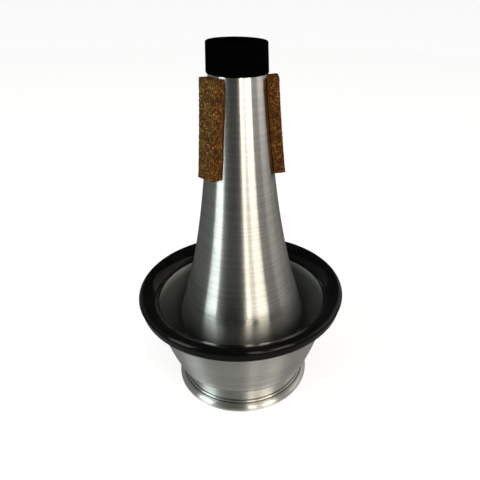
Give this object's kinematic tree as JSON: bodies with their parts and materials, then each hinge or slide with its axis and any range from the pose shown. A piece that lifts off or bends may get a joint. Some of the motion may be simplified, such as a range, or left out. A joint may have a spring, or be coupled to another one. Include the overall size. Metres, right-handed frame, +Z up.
{
  "type": "trumpet cup mute",
  "caption": "Cup mute for a trumpet: a spun metal cone with cork strips, a cup around its base with a rubber rim cushion, and a rubber sleeve on its throat.",
  "frame": {"origin": "centre of the foot, on the plane that the mute stands on", "axes": "+Z up along the axis of the cone, towards the throat; +X to the right and -Y towards the viewer of the picture"},
  "size_m": [0.108, 0.108, 0.1794],
  "materials": {
    "spun_aluminium": "satin, with fine rings from spinning",
    "cushion_rubber": "smooth moulded, semi-gloss",
    "sleeve_rubber": "smooth, matt",
    "cork": "pressed granulated cork, cut faces"
  },
  "bodies": {
    "mute_body": {"body_cone": "spun_aluminium", "cup_shell": "spun_aluminium", "end_plate": "spun_aluminium", "rim_cushion": "cushion_rubber", "cork_strip_left": "cork", "cork_strip_right": "cork", "cork_strip_back": "cork"},
    "sleeve": {"throat_sleeve": "sleeve_rubber"}
  },
  "joints": [
    {"name": "sleeve_pull", "type": "slide", "parent": "mute_body", "child": "sleeve", "axis": [0, 0, 1], "range_m": [0, 0.02]}
  ]
}
